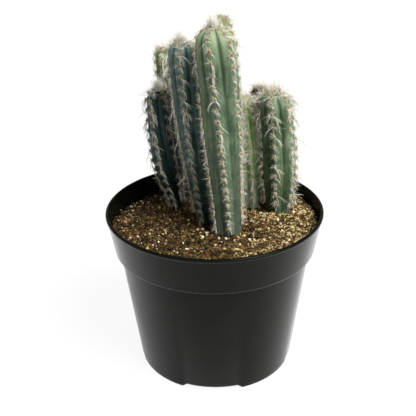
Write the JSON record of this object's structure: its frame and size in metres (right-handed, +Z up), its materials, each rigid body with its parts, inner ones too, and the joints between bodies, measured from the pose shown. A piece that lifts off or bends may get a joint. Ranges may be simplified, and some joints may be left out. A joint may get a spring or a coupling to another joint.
{
  "type": "potted columnar cactus",
  "caption": "Cluster of ribbed, spiny blue-green columnar cactus stems with white woolly tips, growing in a round black plastic nursery pot filled with brown potting soil.",
  "frame": {"origin": "middle of the pot's foot, on the surface that the pot stands on", "axes": "+Z up along the pot's axis, +Y towards the back of the plant, +X to the right seen from the front"},
  "size_m": [0.1646, 0.1646, 0.2775],
  "materials": {
    "pot": "satin",
    "soil": "matte",
    "stem_grey_green": "satin",
    "stem_blue": "satin",
    "stem_green": "satin",
    "wool": "matte"
  },
  "bodies": {
    "root": {"pot": "pot", "soil": "soil", "stem_front_tall": "stem_grey_green", "stem_left_tall": "stem_blue", "stem_far_left": "stem_blue", "stem_back_left": "stem_green", "stem_slim_right": "stem_green", "stem_right": "stem_grey_green", "stem_back_right": "stem_blue", "stem_back_tall": "stem_green", "tuft_front_tall": "wool", "tuft_left_tall": "wool", "tuft_far_left": "wool"}
  },
  "joints": []
}
